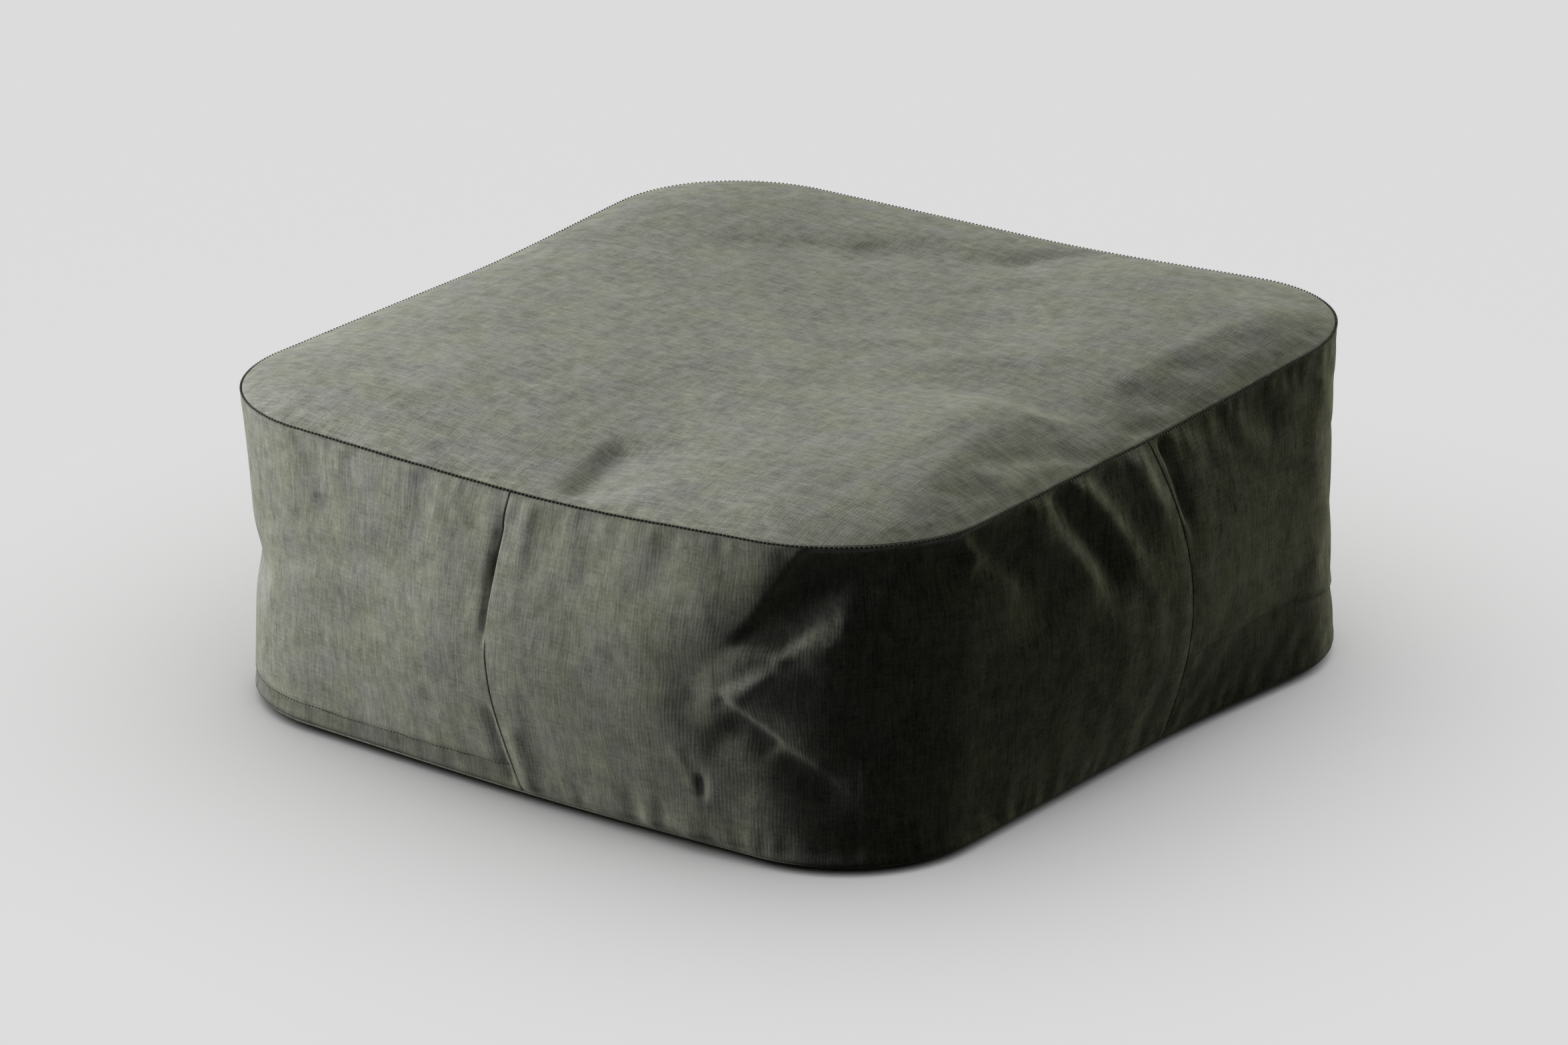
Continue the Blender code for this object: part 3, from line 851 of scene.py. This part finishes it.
def sewn_stitches(name, centres, along, outward, thickness):
    """A row of stitches as one piece: dark thread that comes out of the cloth and goes back in."""
    across = np.cross(along, outward)
    rings, corners = 5, 6
    t = np.linspace(-1, 1, rings)[:, None]
    angle = (np.arange(corners) * 2 * np.pi / corners)[None]
    thick = thickness / 2 * (1 - STITCH_TAPER * t ** 4)
    lift = thickness * (STITCH_CREST - STITCH_DIP * t ** 4) + thick * np.sin(angle)
    points = centres[:, None, None] + sum(
        way[:, None, None] * size[None, :, :, None]
        for way, size in ((along, (t + 0 * angle) * STITCH_LENGTH / 2), (outward, lift),
                          (across, thick * np.cos(angle))))
    quads = [(i * corners + k, (i + 1) * corners + k, (i + 1) * corners + (k + 1) % corners,
              i * corners + (k + 1) % corners) for i in range(rings - 1) for k in range(corners)]
    ends = [tuple(range(corners)), tuple(reversed(range((rings - 1) * corners, rings * corners)))]
    faces = [tuple(at + number * rings * corners for at in face)
             for number in range(len(centres)) for face in quads + ends]
    mesh = bpy.data.meshes.new(name)
    mesh.from_pydata(points.reshape(-1, 3).tolist(), [], faces)
    piece = bpy.data.objects.new(name, mesh)
    bpy.context.collection.objects.link(piece)
    outside_out(piece)
    bpy.ops.object.shade_smooth()
    piece.data.materials.append(thread)
    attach(piece, "root")
    return piece


def hem_stitches(name, number, along, heights):
    """The line of stitches of one panel's hem."""
    distance = np.arange(along[0] + HEM_PITCH, along[-1] - ALLOWANCE, HEM_PITCH)
    height = np.interp(distance, along, heights)

    def on_cloth(distance):
        level = (height - FOOT_SEAM) / (at_station(0, distance) - FOOT_SEAM)
        start, end = (seam_place(number + step + 0 * level, level) for step in (0, 1))
        past = (distance - start + ROUND / 2) % ROUND - ROUND / 2
        return side_cloth(number + past / (end - start), level)

    places = on_cloth(distance)
    return sewn_stitches(name, places, unit(on_cloth(distance + 0.002) - places),
                         plan_at(distance)[1], STITCH_THICKNESS)


thread, shader = new_material("thread")
place = add_node(thread, "TexCoord").outputs["Object"]
plies = add_node(thread, "TexWave", Vector=place, Scale=900.0, Distortion=1.5).outputs["Fac"]
tone = add_node(thread, "ValToRGB", Fac=plies)
tone.color_ramp.elements[0].color = (0.020, 0.020, 0.015, 1)
tone.color_ramp.elements[1].color = (0.042, 0.043, 0.034, 1)
bump = add_node(thread, "Bump", Height=plies, Strength=0.5, Distance=0.0001)
thread.node_tree.links.new(tone.outputs[0], shader.inputs["Base Color"])
thread.node_tree.links.new(bump.outputs[0], shader.inputs["Normal"])
shader.inputs["Roughness"].default_value = 0.7
side_canvas = canvas_material("side_canvas", CANVAS, RIBS, (0.012, 0.008), (1.0, 0.45))

# Painted shade in the cloth's colour, where shade falls: in the grooves of the seams, in the front
# seam's gap, below the hems
TOP_GROOVE, FOOT_GROOVE, UPRIGHT_GROOVE = 0.0020, 0.0030, 0.0008    # widths
GROOVE_SHADE, UPRIGHT_SHADE, GAP_SHADE, HEM_SHADE = 0.85, 0.15, 0.75, 0.32
GAP_PANEL = 3
GAP_FOOT, GAP_HEAD, GAP_FADE = 0.178, 0.214, 0.014
GAP_WIDTHS = ((0.156, 0.198, 0.226), (0.0007, 0.0050, 0.0010))      # by height
# The right-hand panels are more strongly mottled: distances where that starts and ends, and over
# how much
MOTTLED_START, MOTTLED_RISE, MOTTLED_END, MOTTLED_FALL = 0.16, 0.20, 1.10, 0.25
RIGHT_MOTTLE = 0.9
for number, name in enumerate(SIDE_PANELS):
    across = crowded(SIDE_COLUMNS, EDGE_ROWS / SIDE_LENGTH)
    up = crowded(SIDE_ROWS, EDGE_ROWS / SIDE_HEIGHT)
    panel, column, row = cloth_grid(name.replace("panel", "cloth"), len(across), len(up))
    turn, level = number + np.minimum(across[column], 1 - 1e-7), up[row]
    distance = distance_round(turn, level)
    points = side_cloth(turn, level)
    move = 0 * points
    for end in (0.0, 1.0):
        seam, into_side, _, inwards = level_seam(turn, end)
        move += turned_in(points, seam, into_side, inwards)
    for end, side in ((0, 1), (1, -1)):
        seam, into, inwards = upright_seam(number + end, level, side)
        move += turned_in(points, seam, into, inwards, turn_in=UPRIGHT_TURN_IN)
    write_points(panel.data, points + move)
    lay_pattern(panel, distance, points[:, 2])
    edge = np.minimum(across[column], 1 - across[column]) * SIDE_LENGTH
    # Painted shade: the cloth is darkened along the grooves of the level and upright seams
    shade = GROOVE_SHADE * (np.exp(-((1 - level) * SIDE_HEIGHT / TOP_GROOVE) ** 2)
                            + np.exp(-(level * SIDE_HEIGHT / FOOT_GROOVE) ** 2))
    shade += UPRIGHT_SHADE * np.exp(-(edge / UPRIGHT_GROOVE) ** 2)
    # Painted shadow: the front left panel's cloth is darkened beside the front seam, where that
    # seam gapes
    if number == GAP_PANEL:
        past_gap = (points[:, 2] - np.clip(points[:, 2], GAP_FOOT, GAP_HEAD)) / GAP_FADE
        gap = np.exp(-(edge / np.interp(points[:, 2], *GAP_WIDTHS)) ** 4 - past_gap ** 2)
        shade += GAP_SHADE * gap * (across[column] > 0.5)
    # Painted shade: the band below each hem's line of stitches is darkened
    hem, on_panel = hem_height(distance)
    shade += HEM_SHADE * on_panel * (points[:, 2] < hem)
    right_side = (number < 2) * eased((distance - MOTTLED_START) / MOTTLED_RISE)
    mark_cloth(panel, shade, 1 + RIGHT_MOTTLE * right_side * eased((MOTTLED_END - distance) / MOTTLED_FALL))
    thicken(panel, side_canvas)
    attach(panel, "root")
    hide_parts(name)
    if number in HEMS:
        stitches = hem_stitches(name.replace("side_panel", "hem_stitches"), number, *HEMS[number])


# ----------------------------------------------------------
# Bottom panel: one square of the same canvas with round corners, on which the stool stands. It lies
# flat on the floor and turns up at its rim to the bottom seam.
# ----------------------------------------------------------
FLAT_ACROSS = 132           # divisions of it, besides the edge rows
FLAT_REACH = 0.34           # from its middle to its seam, by which they are spaced
UNDER_COLOUR = tuple(0.9 * c for c in CANVAS)
bottom_canvas = canvas_material("bottom_canvas", UNDER_COLOUR, RIBS, (0.012, 0.008), (0.8, 0.6))
over = 2 * crowded(FLAT_ACROSS, EDGE_ROWS / FLAT_REACH) - 1
bottom, column, row = cloth_grid("bottom_cloth", len(over), len(over))
x, y = -over[column], over[row]
points = foot_point(x, y) - CENTRE
turn = ring_and_turn(x, y)[1]
seam, _, into_flat, inwards = level_seam(turn, 0.0)
write_points(bottom.data, points + turned_in(points, seam, into_flat, inwards))
lay_pattern(bottom, points[:, 0], points[:, 1])
mark_cloth(bottom, 0 * turn, 1 + 0 * turn)
thicken(bottom, bottom_canvas)
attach(bottom, "root")
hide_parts("bottom_panel")


# ----------------------------------------------------------
# Top panel: one square of canvas with round corners, ribbed along the stool's width. It is sewn to
# the side panels all round, and rises in a low crown with a few soft dents.
# ----------------------------------------------------------
TOP_ACROSS = 170            # divisions of it, besides the edge rows
TOP_RIBS = 0.0029, 0.00267  # pitch of its ribs, warp and weft
# RIM_SHADE is painted shade in the top seam's groove
RIM_SHADE, RIM_GROOVE = 0.75, 0.0012    # how dark the seam's groove is, and its width
TOP_STITCHES = 700          # round the top seam
SEAM_DEPTH = 0.0007         # of the threads, in the seam
SEAM_THREAD = 0.0015
top_canvas = canvas_material("top_canvas", CANVAS, TOP_RIBS, (0.008, 0.040), (0.6, 1.0))
over = 2 * crowded(TOP_ACROSS, EDGE_ROWS / FLAT_REACH) - 1
top, column, row = cloth_grid("top_cloth", len(over), len(over))
x, y = over[column], over[row]
points = top_cloth(x, y)
turn = ring_and_turn(x, y)[1]
seam, _, into_flat, inwards = level_seam(turn, 1.0)
write_points(top.data, points + turned_in(points, seam, into_flat, inwards))
lay_pattern(top, points[:, 0], points[:, 1])
# Painted shade: the top is darkened along its seam's groove
from_seam = np.linalg.norm(points - seam, axis=1)
mark_cloth(top, RIM_SHADE * np.exp(-(from_seam / RIM_GROOVE) ** 2), 1 + 0 * turn)
thicken(top, top_canvas)
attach(top, "root")
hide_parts("top_panel")
# The threads of its seam show between the two panels
turn = np.arange(0, 4, 4 / TOP_STITCHES)
seam, _, _, inwards = level_seam(turn, 1.0)
along = unit(np.roll(seam, -1, axis=0) - np.roll(seam, 1, axis=0))
outward = unit((inwards * along).sum(-1, keepdims=True) * along - inwards)
stitches = sewn_stitches("top_seam_stitches", seam + inwards * SEAM_DEPTH, along, outward,
                         SEAM_THREAD)


# ----------------------------------------------------------
# Studio: a plain pale floor, and soft light from the left, the front left and above, with a little
# from behind, so that the front right corner and the right side fall into shade. The floor has a
# light of its own.
# ----------------------------------------------------------
def towards(azimuth, elevation):
    """A direction: azimuth 0 is from the front, 90 from the right."""
    a, e = math.radians(azimuth), math.radians(elevation)
    return Vector((math.sin(a) * math.cos(e), -math.cos(a) * math.cos(e), math.sin(e)))


def light_from(kind, name, place, strength, colour, receivers):
    """A light that shines from a place on the origin, and only on a collection's objects."""
    bpy.ops.object.light_add(type=kind, location=place if kind == "AREA" else (0, 0, 0))
    light = bpy.context.object
    light.name = light.data.name = name
    light.data.energy = strength
    light.data.color = colour
    light.rotation_mode = "QUATERNION"
    light.rotation_quaternion = Vector(place).to_track_quat("Z", "Y")
    light.light_linking.receiver_collection = receivers
    return light


bpy.ops.object.select_all(action="DESELECT")
bpy.ops.mesh.primitive_plane_add(size=24, location=(0, 0, -0.0005))
floor = bpy.context.object
floor.name = "floor"
floor_paint, shader = new_material("floor_paint")
shader.inputs["Base Color"].default_value = (0.78, 0.78, 0.78, 1)
shader.inputs["Roughness"].default_value = 1.0
shader.inputs["Specular IOR Level"].default_value = 0.0
floor.data.materials.append(floor_paint)
floor.visible_diffuse = False
floor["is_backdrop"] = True
stool_group = bpy.data.collections.new("stool_group")
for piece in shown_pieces():
    stool_group.objects.link(piece)
floor_group = bpy.data.collections.new("floor_group")
floor_group.objects.link(floor)
for name, azimuth, elevation, strength, softness, colour, receivers in (
        # azimuth, elevation and softness in degrees
        ("key_light", -110, 20, 1.80, 22, (1.0, 1.0, 1.10), stool_group),
        ("front_left_light", -65, 8, 1.75, 15, (0.98, 1.0, 0.84), stool_group),
        ("high_light", -110, 75, 0.97, 25, (0.97, 1.0, 0.90), stool_group),
        ("back_light", -178, 5, 1.36, 20, (1.03, 1.0, 0.75), stool_group),
        ("back_right_light", 165, 5, 0.36, 20, (0.95, 1.0, 0.60), stool_group),
        ("side_light", 112, 6, 0.05, 30, (1.0, 1.03, 0.60), stool_group),
        ("floor_light", 0, 90, 2.86, 120, (1.0, 1.0, 1.0), floor_group)):
    light = light_from("SUN", name, towards(azimuth, elevation), strength, colour, receivers)
    light.data.angle = math.radians(softness)
for name, place, strength, size, colour in (
        ("front_box", (-0.372, -0.798, 0.287), 0.55, 0.30, (1.0, 1.0, 1.05)),
        ("front_high_box", (-0.4545, -0.4545, 0.866), 0.38, 0.35, (1.05, 1.0, 1.05))):
    # A near light, as strong at the stool's middle as a far one of that strength
    power = strength * math.pi * Vector(place).length_squared
    light = light_from("AREA", name, place, power, colour, stool_group)
    light.data.size = size
    light.visible_camera = False
world = bpy.data.worlds.new("studio")
bpy.context.scene.world = world
world.use_nodes = True
world.node_tree.nodes["Background"].inputs["Color"].default_value = (1, 1, 1, 1)
world.node_tree.nodes["Background"].inputs["Strength"].default_value = 0.009
bpy.context.scene.view_settings.view_transform = "Standard"

# Camera: a long lens from the front right, looking a little down
AZIMUTH, ELEVATION, DISTANCE, LENS = 36.695, 20.741, 5.5, 154.33
TARGET = Vector((-0.0056, 0.0005, 0.127))
back = towards(AZIMUTH, ELEVATION)
bpy.ops.object.camera_add(location=TARGET + back * DISTANCE)
camera = bpy.context.object
camera.name = "camera"
camera.rotation_mode = "QUATERNION"
camera.rotation_quaternion = back.to_track_quat("Z", "Y")
camera.data.lens = LENS
camera.data.clip_end = 100
bpy.context.scene.camera = camera
